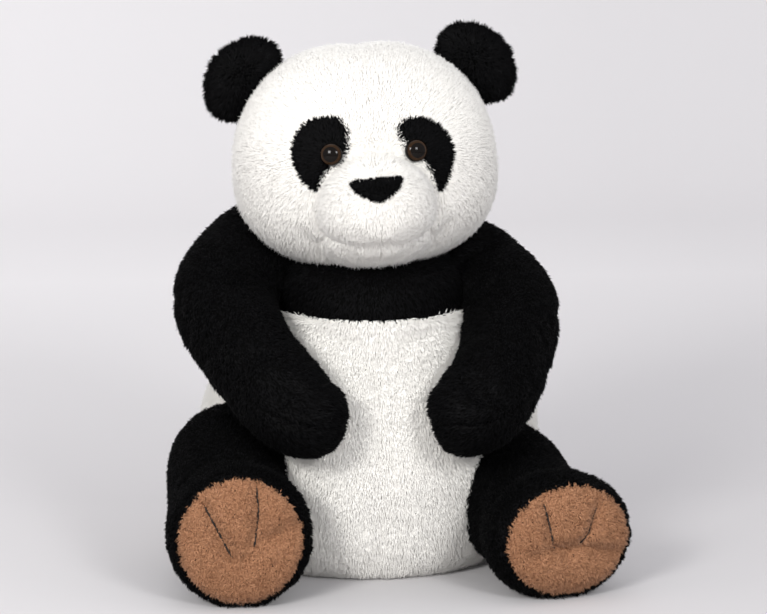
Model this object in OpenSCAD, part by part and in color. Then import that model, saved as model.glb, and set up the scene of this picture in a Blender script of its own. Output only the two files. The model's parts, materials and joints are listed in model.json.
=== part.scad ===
// Seated plush panda: sewn panels over stuffed shapes, in millimetres.
// The panda faces -Y, +Z is up, its own left side is +X, and the origin is the middle of its seat.

/* [Body] */
// Half width of the belly at its widest
belly_half_width = 141; // [136:1:143]
// Half depth of the belly at its widest
belly_half_depth = 125; // [122:1:127]
// Thickness of the plush fabric, backing and pressed pile together
fabric = 3; // [2:0.5:3.5]

/* [Head] */
// Half width of the head at the cheeks
head_half_width = 105; // [102:1:106]
// Height of the crown above the cheeks
crown_height = 105; // [100:1:108]
// Tilt of the head towards the panda's right shoulder, in degrees
head_tilt = 3.3; // [0:0.1:4]
// Diameter of the safety eyes
eye_diameter = 18; // [16:1:20]
// Radius of each ear
ear_radius = 32; // [29:1:33]

/* [Limbs] */
// Radius of the ball-shaped root of each arm
arm_root = 34; // [32:1:35]
// Radius of the ball-shaped root of each leg
leg_root = 58; // [56:1:60]
// Outward splay of the panda's right leg, in degrees
splay_right = 3; // [2:1:6]
// Outward splay of the panda's left leg, in degrees
splay_left = 17; // [14:1:19]

/* [Hidden] */

white_plush = [0.95, 0.94, 0.91];
black_plush = [0.05, 0.05, 0.055];
tan_plush = [0.69, 0.5, 0.36];
filling = [0.97, 0.97, 0.97];

gap = 0.3; // room between a fabric panel and the stuffing under it
clear = 0.8; // room round a ball-shaped root in its hollow
fill_inset = fabric + gap;
RIGHT = -1;
LEFT = 1;

// ---------- curves and surfaces ----------
// A station is [x, y, z, radius across, radius front to back]. A surface is a function of u, which runs
// from 0 at the root to 1 at the tip, and v, an angle round the shape.
function unit(a) = a / norm(a);
function xyz(p) = [p[0], p[1], p[2]];
function blend4(a, b, c, d, t) =
    0.5 * (2 * b + (c - a) * t + (2 * a - 5 * b + 4 * c - d) * t * t + (3 * b - a - 3 * c + d) * t * t * t);
function along(list, u) =
    let(last = len(list) - 1, s = min(max(u, 0), 1) * last, i = min(floor(s), last - 1))
    blend4(list[max(i - 1, 0)], list[i], list[i + 1], list[min(i + 2, last)], s - i);
// Radii are blended as squares, which makes an end of radius 0 round.
function squared(stations) = [for (s = stations) [s[0], s[1], s[2], s[3] * s[3], s[4] * s[4]]];
function upright(stations) =
    let(q = squared(stations))
    function(u, v) let(p = along(q, u))
        [p[0] + sqrt(max(0, p[3])) * cos(v), p[1] + sqrt(max(0, p[4])) * sin(v), max(0, p[2])];
function limb(stations, side) =
    let(q = squared(stations))
    function(u, v)
        let(p = along(q, u), t = unit(xyz(along(q, u + 0.01)) - xyz(along(q, u - 0.01))),
            a = unit(cross(side, t)), b = cross(t, a))
        xyz(p) + a * sqrt(max(0, p[3])) * cos(v) + b * sqrt(max(0, p[4])) * sin(v);
// A point moved inwards by depth, square to the surface
function inward(f, u, v, depth) =
    let(w = min(max(u, 0.004), 0.996), du = f(w + 0.003, v) - f(w - 0.003, v), dv = f(w, v + 1) - f(w, v - 1))
    f(u, v) - depth * unit(cross(dv, du));
// The middle of an end, moved inwards by depth
function pole(f, u, depth) =
    let(w = u > 0.5 ? u - 0.02 : u + 0.02, end = (f(u, 0) + f(u, 180)) / 2)
    end + depth * unit((f(w, 0) + f(w, 180)) / 2 - end);
// A skin is [surface, rows of u, columns], which panels and stuffing share, so their facets run parallel.
function even_rows(n) = [for (i = [0:n]) i / n];
function round_rows(n) = [for (i = [1:n - 1]) (1 - cos(180 * i / n)) / 2];
function row_points(skin, i, j0, j1, depth) =
    [for (j = [j0:j1]) inward(skin[0], skin[1][i], 360 * j / skin[2], depth)];

// A four-sided fabric panel between rows i0 and i1 and columns j0 and j1
module panel(skin, i0, i1, j0, j1, d0 = 0, d1 = fabric) {
    m = j1 - j0 + 1;
    n = i1 - i0;
    half = (n + 1) * m;
    points = [for (d = [d0, d1]) for (i = [i0:i1]) each row_points(skin, i, j0, j1, d)];
    skins = [for (i = [0:n - 1]) for (j = [0:m - 2]) let(a = i * m + j, b = half + a)
        each [[a, a + m + 1, a + 1], [a, a + m, a + m + 1], [b, b + 1, b + m + 1], [b, b + m + 1, b + m]]];
    sides = [for (i = [0:n - 1]) let(a = i * m, b = a + m - 1)
        each [[a, half + a, half + a + m], [a, half + a + m, a + m],
            [b, b + m, half + b + m], [b, half + b + m, half + b]]];
    ends = [for (a = [0:m - 2]) let(b = n * m + a)
        each [[a, a + 1, half + a + 1], [a, half + a + 1, half + a],
            [b, half + b, half + b + 1], [b, half + b + 1, b + 1]]];
    polyhedron(points, concat(skins, sides, ends));
}

// The triangles of rings round a shape, n steps of m columns, first numbered from start, facing out or in
function wall_faces(n, m, start, out) = [for (i = [0:n - 1]) for (j = [0:m - 1])
    let(a = start + i * m + j, b = start + i * m + (j + 1) % m, c = b + m, e = a + m)
    each (out ? [[a, c, b], [a, e, c]] : [[a, b, c], [a, c, e]])];
function fan_faces(m, start, tip, out) = [for (j = [0:m - 1])
    let(a = start + j, b = start + (j + 1) % m) out ? [a, tip, b] : [a, b, tip]];
function rim_faces(m, near, far) = [for (j = [0:m - 1])
    let(k = (j + 1) % m) each [[near + j, near + k, far + k], [near + j, far + k, far + j]]];

// A fabric cup from its open rim at row i0 to the closed tip
module cup(skin, i0, d0 = 0, d1 = fabric) {
    m = skin[2];
    n = len(skin[1]) - 1 - i0;
    half = (n + 1) * m + 1;
    points = [for (d = [d0, d1])
        each concat([for (i = [i0:i0 + n]) each row_points(skin, i, 0, m - 1, d)], [pole(skin[0], 1, d)])];
    polyhedron(points, concat(wall_faces(n, m, 0, true), fan_faces(m, n * m, half - 1, true),
        wall_faces(n, m, half, false), fan_faces(m, half + n * m, 2 * half - 1, false),
        rim_faces(m, 0, half)));
}

// A fabric tube, open at both ends, from row i0 to row i1
module band(skin, i0, i1, d0 = 0, d1 = fabric) {
    m = skin[2];
    n = i1 - i0;
    half = (n + 1) * m;
    points = [for (d = [d0, d1]) for (i = [i0:i1]) each row_points(skin, i, 0, m - 1, d)];
    polyhedron(points, concat(wall_faces(n, m, 0, true), wall_faces(n, m, half, false),
        rim_faces(m, 0, half), rim_faces(m, half + n * m, n * m)));
}

// A closed stuffed shape inside the skin
module stuffed(skin, inset = fill_inset, floor_z = -1000) {
    m = skin[2];
    n = len(skin[1]) - 1;
    tip = (n + 1) * m;
    points = concat([for (i = [0:n]) each row_points(skin, i, 0, m - 1, inset)],
        [pole(skin[0], 1, inset), pole(skin[0], 0, inset)]);
    polyhedron([for (p = points) [p[0], p[1], max(floor_z, p[2])]],
        concat(wall_faces(n, m, 0, true), fan_faces(m, n * m, tip, true), fan_faces(m, 0, tip + 1, false)));
}

// ---------- torso ----------
neck = [0, -4, 256];
neck_radius = 38;
neck_foot_z = 226;
torso_stations = [
    [0, -4, 0, 98, 98],
    [0, -4, 10, 117, 112],
    [0, -3, 45, belly_half_width - 6, belly_half_depth - 3],
    [0, -2, 90, belly_half_width, belly_half_depth],
    [0, 0, 135, belly_half_width - 5, belly_half_depth - 7],
    [0, 2, 175, 106, 107],
    [0, 2, 214, 75, 97],
    [0, 1, 232, 67, 84],
    [0, 0, 244, 56, 66],
    [0, -2, 249, 45, 46]];
torso = [upright(torso_stations), even_rows(18), 36];
yoke_row = 12;
top_row = 18;
quarter = 9;
hip_right = [114, -70, 64];
hip_left = [103, -74, 64];

leg_close = 6;
function splay(side) = side == LEFT ? splay_left : -splay_right;
function hip(side) = side == LEFT ? hip_left : [-hip_right[0], hip_right[1], hip_right[2]];

module hip_hollows() {
    for (side = [RIGHT, LEFT])
        translate(hip(side)) rotate([90, 0, splay(side) - side * (leg_close + 1)]) rotate([0, 0, 37]) {
            sphere(r = leg_root + clear, $fn = 96);
            cylinder(r = leg_root - 0.6, h = 70, $fn = 72);
        }
}

module torso_quarter(first) {
    panel(torso, 0, yoke_row, first * quarter, (first + 1) * quarter);
}

module belly(side) {
    color(white_plush) difference() {
        torso_quarter(side == LEFT ? 3 : 2);
        hip_hollows();
    }
}

module back(side) {
    color(white_plush) difference() {
        torso_quarter(side == LEFT ? 0 : 1);
        hip_hollows();
    }
}

module seat_panel() {
    seat_radius = 93;
    color(white_plush) translate([0, -4, 0]) linear_extrude(fabric)
        polygon([for (a = [0:7.5:352.5]) seat_radius * [cos(a), sin(a)]]);
}

module yoke(start) {
    color(black_plush) panel(torso, yoke_row, top_row, start, start + 2 * quarter);
}

module torso_stuffing() {
    color(filling) difference() {
        stuffed(torso, floor_z = fill_inset);
        hip_hollows();
        translate([neck[0], neck[1], neck_foot_z - clear])
            cylinder(r = neck_radius + clear, h = 60, $fn = 64);
    }
}

module neck_stuffing() {
    profile = concat([[0, neck_foot_z], [neck_radius, neck_foot_z]],
        [for (a = [0:10:80]) [neck_radius * cos(a), neck[2] + neck_radius * sin(a)]],
        [[0, neck[2] + neck_radius]]);
    color(filling) translate([neck[0], neck[1], 0]) rotate_extrude($fn = 64) polygon(profile);
}

// ---------- head ----------
head_mid = [0, -14, 326];
head_half_depth = 98;
chin_drop = 71;
snout = [0, -98, 309];
snout_radii = [47, 49, 35];
chin = [0, -84, 280];
chin_radii = [42, 38, 23];
face_slope = 11;
face_axis = [0, -cos(face_slope), -sin(face_slope)];
face_up = [0, -sin(face_slope), cos(face_slope)];

// Distance from head_mid to the far side of an ellipsoid along d, or 0 if it is missed
function reach(d, mid, radii) =
    let(q = [for (i = [0:2]) d[i] / radii[i]], w = [for (i = [0:2]) (head_mid[i] - mid[i]) / radii[i]],
        a = q * q, b = q * w, c = w * w - 1, s = b * b - a * c)
    s < 0 ? 0 : (-b + sqrt(s)) / a;
function softly(a, b) = let(k = 9, h = max(k - abs(a - b), 0) / k) max(a, b) + h * h * k / 4;
function head_reach(d) =
    let(power = 2.35, rise = d[2] > 0 ? crown_height : chin_drop,
        skull = 1 / pow(pow(abs(d[0]) / head_half_width, power) + pow(abs(d[1]) / head_half_depth, power)
            + pow(abs(d[2]) / rise, power), 1 / power))
    softly(softly(skull, reach(d, snout, snout_radii)), reach(d, chin, chin_radii));
function head_point(d) = head_mid + head_reach(d) * d;
head_surface = function(u, v)
    let(a = 180 * (1 - u)) head_point(face_axis * cos(a) + ([1, 0, 0] * cos(v) + face_up * sin(v)) * sin(a));
head_steps = 24;
head = [head_surface, concat([0.002], [for (i = [1:head_steps - 1]) i / head_steps], [0.998]), 32];
crown_row = 12;
muzzle_row = 19;
nose_row = 24;
// The left half of the head runs over these columns, and the right half starts where they end.
left_columns = [-8, 8];
right_columns = [8, 24];
function half_head(side) = side == LEFT ? left_columns : right_columns;
module head_panel(side, i0, i1) {
    panel(head, i0, i1, half_head(side)[0], half_head(side)[1]);
}

module head_place() {
    translate(neck) rotate([0, -head_tilt, 0]) translate(-neck) children();
}

module neck_hollow() {
    translate(neck) sphere(r = neck_radius + clear, $fn = 96);
    translate([neck[0], neck[1], neck[2] - 30]) cylinder(r = neck_radius + clear, h = 30, $fn = 64);
}

eye_side = 34.5;
eye_height = 353;
eye_toe_out = 14;
eye_tip_up = 6;
shank_radius = 2.4;
washer_radius = 9;
patch_thickness = 4.3;
eye_dir = unit([eye_side, -92, eye_height - head_mid[2]]);
function eye_seat(side) = head_point([side * eye_dir[0], eye_dir[1], eye_dir[2]]);

// Local +Z of an eye points out of the face
module at_eye(side) {
    translate(eye_seat(side)) rotate([0, 0, side * eye_toe_out]) rotate([90 - eye_tip_up, 0, 0]) children();
}

module eye_bore(r, depth) {
    for (side = [RIGHT, LEFT]) at_eye(side) translate([0, 0, -depth])
        cylinder(r = r, h = depth + 12, $fn = 32);
}

// Room for the eye's dome, which sits partly in the side of the muzzle
module eye_room() {
    for (side = [RIGHT, LEFT]) at_eye(side) translate([0, 0, 1])
        cylinder(r = eye_diameter / 2 + 0.5, h = 30, $fn = 48);
}

module face(side) {
    color(white_plush) head_place() difference() {
        head_panel(side, crown_row, muzzle_row);
        neck_hollow();
        eye_bore(shank_radius + gap, 20);
    }
}

module muzzle(side) {
    color(white_plush) head_place() difference() {
        head_panel(side, muzzle_row, nose_row);
        eye_bore(shank_radius + gap, 20);
        eye_room();
    }
}

module head_back(side) {
    color(white_plush) head_place() difference() {
        head_panel(side, 0, crown_row);
        neck_hollow();
    }
}

module head_stuffing() {
    color(filling) head_place() difference() {
        stuffed(head);
        neck_hollow();
        eye_bore(washer_radius + gap, 16);
    }
}

// A disc of pile lying on the head: outline gives its reach at angle v, and bearing its middle
function on_head(bearing, outline) = [
    function(u, v) let(r = outline(v) * (1 - u)) head_point(unit(bearing + [r * cos(v), 0, r * sin(v)])),
    [0, 0.3, 0.6, 0.85], 28];

module eye_patch(side) {
    outline = function(v) let(a = side == LEFT ? v : 180 - v)
        0.245 + 0.07 * cos(2 * (a - 118)) + 0.02 * cos(a + 62);
    bearing = [side * 0.415, -0.9, 0.285];
    color(black_plush) head_place() difference() {
        cup(on_head(bearing, outline), 0, d0 = -patch_thickness, d1 = 1.2 - patch_thickness);
        eye_bore(shank_radius + gap, 20);
    }
}

// Reach at angle v of a rounded shape whose sides are [direction, distance from the middle]
function rounded(sides, v) = let(sharp = 5)
    pow([for (s = sides) pow(max(0, cos(v - s[0])) / s[1], sharp)] * [for (s = sides) 1], -1 / sharp);

module nose() {
    nose_sides = [[90, 0.07], [-57.5, 0.052], [-122.5, 0.052]];
    color(black_plush) head_place()
        cup(on_head([0, -1, 0], function(v) rounded(nose_sides, v)), 0, d0 = -4, d1 = -0.6);
}

module eye(side) {
    eye_radius = eye_diameter / 2;
    base = patch_thickness + 0.4;
    dome = [for (a = [0:9:90]) [eye_radius * cos(a), base + 1.6 + 0.62 * eye_radius * sin(a)]];
    color([0.12, 0.07, 0.04]) head_place() at_eye(side) rotate_extrude($fn = 48)
        polygon(concat([[0, -14], [shank_radius, -13], [shank_radius, base]], [[eye_radius, base]], dome));
}

module eye_washer(side) {
    color([0.9, 0.9, 0.88]) head_place() at_eye(side) translate([0, 0, -11]) difference() {
        cylinder(r = washer_radius, h = 1.6, $fn = 48);
        translate([0, 0, -1]) cylinder(r = shank_radius + 0.05, h = 4, $fn = 32);
    }
}

// ---------- ears ----------
ear_root = 9;
ear_bearing = unit([95.5, 24, 86]);
ear_lean = atan2(ear_bearing[0], ear_bearing[2]);
ear_hinge = head_mid + (head_reach(ear_bearing) + ear_root + 1) * ear_bearing;
ear_top = 39;
ear_stations = [
    [0, 0, -ear_root, 0, 0],
    [0, 0, -ear_root * 0.6, ear_radius * 0.62, ear_root * 0.8],
    [0, 0, 0, ear_radius * 0.82, ear_root],
    [0, 0, ear_top * 0.32, ear_radius, ear_root * 1.1],
    [0, 0, ear_top * 0.62, ear_radius * 0.92, ear_root],
    [0, 0, ear_top * 0.88, ear_radius * 0.58, ear_root * 0.62],
    [0, 0, ear_top, 0, 0]];
ear = [limb(ear_stations, [0, 1, 0]), round_rows(11), 20];

module ear_place(side) {
    head_place() translate([side * ear_hinge[0], ear_hinge[1], ear_hinge[2]]) rotate([0, side * ear_lean, 0])
        children();
}

module ear_half(side, start) {
    color(black_plush) ear_place(side) panel(ear, 1, 9, start, start + 10, d1 = 2);
}

module ear_stuffing(side) {
    color(filling) ear_place(side) stuffed(ear, inset = 2 + gap);
}

// ---------- arms ----------
arm_dir = unit([0.95, -0.25, 0.1]);
shoulder_right = [106, 0, 245];
shoulder_left = [105, 0, 235];
function arm_ball(middle, t) =
    let(r = sqrt(arm_root * arm_root - t * t)) [each middle + arm_dir * t, r, r];
// The right shoulder is carried higher and wider than the left one; the paws lie level on the belly.
arm_stations_right = [
    arm_ball(shoulder_right, -arm_root),
    arm_ball(shoulder_right, -arm_root * 0.75),
    arm_ball(shoulder_right, 0),
    [118, -19, 241, 40, 40],
    [124, -50, 220, 41, 41],
    [110, -97, 192, 38, 38],
    [89, -128, 168, 36, 36],
    [69, -146, 150, 34, 34],
    [47, -155, 145, 25, 26],
    [37, -158, 144, 0, 0]];
arm_stations_left = [
    arm_ball(shoulder_left, -arm_root),
    arm_ball(shoulder_left, -arm_root * 0.75),
    arm_ball(shoulder_left, 0),
    [113, -17, 231, 39, 39],
    [119.5, -56, 207, 38, 38],
    [109, -100, 186, 36, 36],
    [90, -130, 164, 35, 35],
    [70, -146, 146, 34, 34],
    [48, -155, 143, 25, 26],
    [38, -158, 142, 0, 0]];
arm_open_row = 3;
arm_tip_row = 17;

function arm(side) =
    [limb(side == LEFT ? arm_stations_left : arm_stations_right, [0, 0, 1]), round_rows(19), 20];

module arm_place(side) {
    if (side == LEFT) children();
    else mirror([1, 0, 0]) children();
}

module arm_half(side, start) {
    color(black_plush) arm_place(side) panel(arm(side), arm_open_row, arm_tip_row, start, start + 10);
}

module arm_stuffing(side) {
    color(filling) arm_place(side) stuffed(arm(side));
}

// ---------- legs ----------
leg_reach = 112;
foot_across_right = 53;
foot_across_left = 56;
foot_high_right = 53;
foot_high_left = 50;
function foot_across(side) = side == LEFT ? foot_across_left : foot_across_right;
function foot_high(side) = side == LEFT ? foot_high_left : foot_high_right;
function foot_drop(side) = hip(side)[2] - 0.5 - foot_high(side);
function leg_ball(t) = [0, -t, 0, sqrt(leg_root * leg_root - t * t), sqrt(leg_root * leg_root - t * t)];
function leg_stations(side) =
    let(wide = foot_across(side), high = foot_high(side), drop = -foot_drop(side)) [
    leg_ball(-leg_root),
    leg_ball(-leg_root * 0.78),
    leg_ball(-leg_root * 0.3),
    [0, -14, -1, leg_root - 2.2, leg_root - 2.2],
    [0, -48, -5, leg_root - 4.5, leg_root - 3.5],
    [0, -82, drop + 1, wide, high + 0.5],
    [0, -leg_reach + 5, drop, wide, high],
    [0, -leg_reach - 4, drop, wide - 8, high - 8],
    [0, -leg_reach - 5.4, drop, wide - 26, high - 26],
    [0, -leg_reach - 6, drop, 0, 0]];
leg_rows =
    [0.02, 0.06, 0.12, 0.19, 0.26, 0.33, 0.4, 0.48, 0.57, 0.62, 0.66, 0.7, 0.75, 0.79, 0.85, 0.93];
function leg(side) = [limb(leg_stations(side), [0, 0, 1]), leg_rows, 28];
leg_open_row = 4;
band_row = 8;
sole_row = 12;

module leg_place(side) {
    translate(hip(side)) rotate([0, 0, splay(side)]) children();
}

module leg_half(side, start) {
    color(black_plush) leg_place(side) panel(leg(side), leg_open_row, band_row, start, start + 14);
}

module foot_band(side) {
    color(black_plush) leg_place(side) band(leg(side), band_row, sole_row);
}

module sole_pad(side) {
    color(tan_plush) leg_place(side) cup(leg(side), sole_row);
}

module leg_stuffing(side) {
    color(filling) leg_place(side) stuffed(leg(side));
}

// A long thread stitch on the sole, between points [across, up] measured from the middle of the foot
module stitch(side, from, to) {
    thread = 0.8;
    step = to - from;
    translate([from[0], -leg_reach - 6 - thread - 0.1, from[1] - foot_drop(side)])
        rotate([0, atan2(step[0], step[1]), 0]) cylinder(r = thread, h = norm(step), $fn = 24);
}

module toe_stitches(side) {
    color(black_plush) leg_place(side) for (k = [-1, 1]) {
        stitch(side, [k * 24, 32], [k * 18, 8]);
        stitch(side, [k * 16.5, 5], [k * 13, -9]);
    }
}

belly(RIGHT);  // belly_right
belly(LEFT);  // belly_left
back(RIGHT);  // back_right
back(LEFT);  // back_left
seat_panel();
yoke(2 * quarter);  // yoke_front
yoke(0);  // yoke_back
torso_stuffing();
neck_stuffing();
face(RIGHT);  // face_right
face(LEFT);  // face_left
muzzle(RIGHT);  // muzzle_right
muzzle(LEFT);  // muzzle_left
head_back(RIGHT);  // head_back_right
head_back(LEFT);  // head_back_left
head_stuffing();
nose();
eye_patch(RIGHT);  // eye_patch_right
eye_patch(LEFT);  // eye_patch_left
eye(RIGHT);  // eye_right
eye(LEFT);  // eye_left
eye_washer(RIGHT);  // eye_washer_right
eye_washer(LEFT);  // eye_washer_left
ear_half(RIGHT, 10);  // ear_front_right
ear_half(LEFT, 10);  // ear_front_left
ear_half(RIGHT, 0);  // ear_back_right
ear_half(LEFT, 0);  // ear_back_left
ear_stuffing(RIGHT);  // ear_stuffing_right
ear_stuffing(LEFT);  // ear_stuffing_left
arm_half(RIGHT, 0);  // arm_outer_right
arm_half(LEFT, 0);  // arm_outer_left
arm_half(RIGHT, 10);  // arm_inner_right
arm_half(LEFT, 10);  // arm_inner_left
arm_stuffing(RIGHT);  // arm_stuffing_right
arm_stuffing(LEFT);  // arm_stuffing_left
leg_half(RIGHT, 0);  // leg_outer_right
leg_half(LEFT, 0);  // leg_outer_left
leg_half(RIGHT, 14);  // leg_inner_right
leg_half(LEFT, 14);  // leg_inner_left
foot_band(RIGHT);  // foot_band_right
foot_band(LEFT);  // foot_band_left
sole_pad(RIGHT);  // sole_pad_right
sole_pad(LEFT);  // sole_pad_left
toe_stitches(RIGHT);  // toe_stitches_right
toe_stitches(LEFT);  // toe_stitches_left
leg_stuffing(RIGHT);  // leg_stuffing_right
leg_stuffing(LEFT);  // leg_stuffing_left
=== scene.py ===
import json
import math
from collections import namedtuple

import bpy
import numpy as np
from mathutils import Matrix, Vector
from mathutils.bvhtree import BVHTree
from mathutils.kdtree import KDTree


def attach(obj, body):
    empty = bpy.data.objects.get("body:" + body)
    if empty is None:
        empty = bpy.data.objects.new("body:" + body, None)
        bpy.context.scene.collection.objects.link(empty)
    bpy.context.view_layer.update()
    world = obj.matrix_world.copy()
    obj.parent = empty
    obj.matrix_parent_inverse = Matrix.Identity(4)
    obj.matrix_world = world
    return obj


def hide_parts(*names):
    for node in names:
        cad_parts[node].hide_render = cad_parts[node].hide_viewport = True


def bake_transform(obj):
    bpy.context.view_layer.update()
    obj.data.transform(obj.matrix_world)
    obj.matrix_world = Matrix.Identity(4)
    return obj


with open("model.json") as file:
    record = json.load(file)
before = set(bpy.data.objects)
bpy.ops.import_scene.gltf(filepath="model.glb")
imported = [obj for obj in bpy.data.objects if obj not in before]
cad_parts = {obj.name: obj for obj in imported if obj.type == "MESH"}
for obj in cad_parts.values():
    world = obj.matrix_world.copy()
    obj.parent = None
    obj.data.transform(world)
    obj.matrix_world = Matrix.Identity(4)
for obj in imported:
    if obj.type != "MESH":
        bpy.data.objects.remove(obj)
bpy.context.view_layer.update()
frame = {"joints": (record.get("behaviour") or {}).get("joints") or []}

# Lengths below are in millimetres in the CAD's frame: the panda faces -Y, its own left side is +X, and the
# origin is the middle of its seat. MM turns them into metres where a mesh or an object is made.
MM = 0.001
HINGE = {j["name"]: np.array(j["pos_m"], float) / MM for j in frame["joints"]}
RIGHT, LEFT = -1, 1
SIDE = {RIGHT: "right", LEFT: "left"}
TAU = 2 * math.pi
ACROSS, BACK, UP = np.eye(3)
scene = bpy.context.scene


# ---------- maths ----------
def unit(a):
    a = np.asarray(a, float)
    return a / np.maximum(np.linalg.norm(a, axis=-1, keepdims=True), 1e-12)


def smooth(x, low, high):
    t = np.clip((x - low) / (high - low), 0, 1)
    return t * t * (3 - 2 * t)


def turn(axis, degrees):
    """The 3x3 turn about an axis, as numpy."""
    return np.array(Matrix.Rotation(math.radians(degrees), 3, Vector(axis)))


def along(stations, u):
    """A Catmull-Rom blend through the stations, for u from 0 to 1."""
    last = len(stations) - 1
    s = np.clip(u, 0, 1) * last
    i = np.minimum(s.astype(int), last - 1)
    t = (s - i)[..., None]
    a, b, c, d = (stations[np.clip(i + k, 0, last)] for k in (-1, 0, 1, 2))
    return 0.5 * (2 * b + (c - a) * t + (2 * a - 5 * b + 4 * c - d) * t**2 + (3 * b - a - 3 * c + d) * t**3)


def squared(stations):
    """Stations with their radii squared, which blend into rounder ends."""
    q = np.array(stations, float)
    q[:, 3:] **= 2
    return q


def ellipses(stations, axes):
    """A surface of ellipses through the stations, each of which is [x, y, z, radius, other radius].

    axes gives the directions of the two radii at each u."""
    q = squared(stations)

    def surface(u, v):
        p = along(q, u)
        a, b = axes(q, u)
        r = np.sqrt(np.maximum(p[..., 3:], 0))
        return p[..., :3] + a * (r[..., 0] * np.cos(v))[..., None] + b * (r[..., 1] * np.sin(v))[..., None]

    return surface


def upright(stations):
    """Level ellipses. Their radii are across, and front to back."""
    return ellipses(stations, lambda q, u: (ACROSS, BACK))


def forward(stations):
    """Ellipses that all face forward, along -Y."""
    return ellipses(stations, lambda q, u: (ACROSS, UP))


def limb(stations, side):
    """Ellipses square to the line through the stations."""

    def axes(q, u):
        t = unit(along(q, u + 0.01)[..., :3] - along(q, u - 0.01)[..., :3])
        a = unit(np.cross(side, t))
        return a, np.cross(t, a)

    return ellipses(stations, axes)


def placed(surface, turned, origin, mirrored=False):
    def moved(u, v):
        p = surface(u, v) @ np.array(turned).T + origin
        return p * [-1, 1, 1] if mirrored else p

    return moved


# ---------- the head's shape ----------
NECK = HINGE["head_nod"]
TILT = turn((0, 1, 0), -3.3)
HEAD_MID = np.array([0, -14, 326.0])
SNOUT = (np.array([0, -98, 308.0]), np.array([48, 50, 33.0]))
SNOUT_RISE = 45.0
CHIN = (np.array([0, -84, 281.0]), np.array([43, 37, 17.0]))
FACE_AXIS = np.array([0, -math.cos(math.radians(11)), -math.sin(math.radians(11))])
FACE_UP = np.array([0, -math.sin(math.radians(11)), math.cos(math.radians(11))])


def reach(d, mid, radii):
    q = d / radii
    w = (HEAD_MID - mid) / radii
    a, b, c = (q * q).sum(-1), q @ w, w @ w - 1
    s = b * b - a * c
    return np.where(s < 0, 0, (-b + np.sqrt(np.maximum(s, 0))) / a)


def softly(a, b, k=8):
    h = np.maximum(k - np.abs(a - b), 0) / k
    return np.maximum(a, b) + h * h * k / 4


def skull_reach(d):
    power = 2.4
    rise = np.where(d[..., 2] > 0, 105.5, 70)
    return (np.abs(d[..., 0] / 105.5) ** power + np.abs(d[..., 1] / 99) ** power
            + np.abs(d[..., 2] / rise) ** power) ** (-1 / power)


def snout_reach(d):
    """The snout is half an ellipsoid below its middle, and half a taller one above."""
    middle, radii = SNOUT
    upper = reach(d, middle, np.array([radii[0], radii[1], SNOUT_RISE]))
    lower = reach(d, middle, radii)
    return np.where(HEAD_MID[2] + d[..., 2] * upper > middle[2], upper, lower)


def head_reach(d):
    """Distance from HEAD_MID to the head's fabric along d, before the head is tilted."""
    return softly(softly(skull_reach(d), snout_reach(d), 6), reach(d, *CHIN), 14)


def tilted(p):
    return (p - NECK) @ TILT.T + NECK


def untilted(p):
    return (p - NECK) @ TILT + NECK


def head_surface(u, v):
    a = math.pi * (1 - u)
    d = (FACE_AXIS * np.cos(a)[..., None]
         + (ACROSS * np.cos(v)[..., None] + FACE_UP * np.sin(v)[..., None]) * np.sin(a)[..., None])
    return tilted(HEAD_MID + d * head_reach(d)[..., None])


# ---------- closed shells that the fabric is cut from ----------
def rows_at(surface, marks, pitch):
    """Values of u about pitch apart along the surface, passing through each mark, and the marks' row numbers."""
    u = np.linspace(marks[0], marks[-1], 800)
    length = np.zeros(len(u))
    for v in (0, TAU / 4, TAU / 2, TAU * 3 / 4):
        p = surface(u, np.full(len(u), v))
        length[1:] += np.cumsum(np.linalg.norm(np.diff(p, axis=0), axis=1)) / 4
    rows, places = [marks[0]], [0]
    for a, b in zip(marks, marks[1:]):
        s0, s1 = np.interp([a, b], u, length)
        n = max(1, round((s1 - s0) / pitch))
        rows += list(np.interp(s0 + (s1 - s0) * np.arange(1, n + 1) / n, length, u))
        places.append(len(rows) - 1)
    return np.array(rows), places


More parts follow.
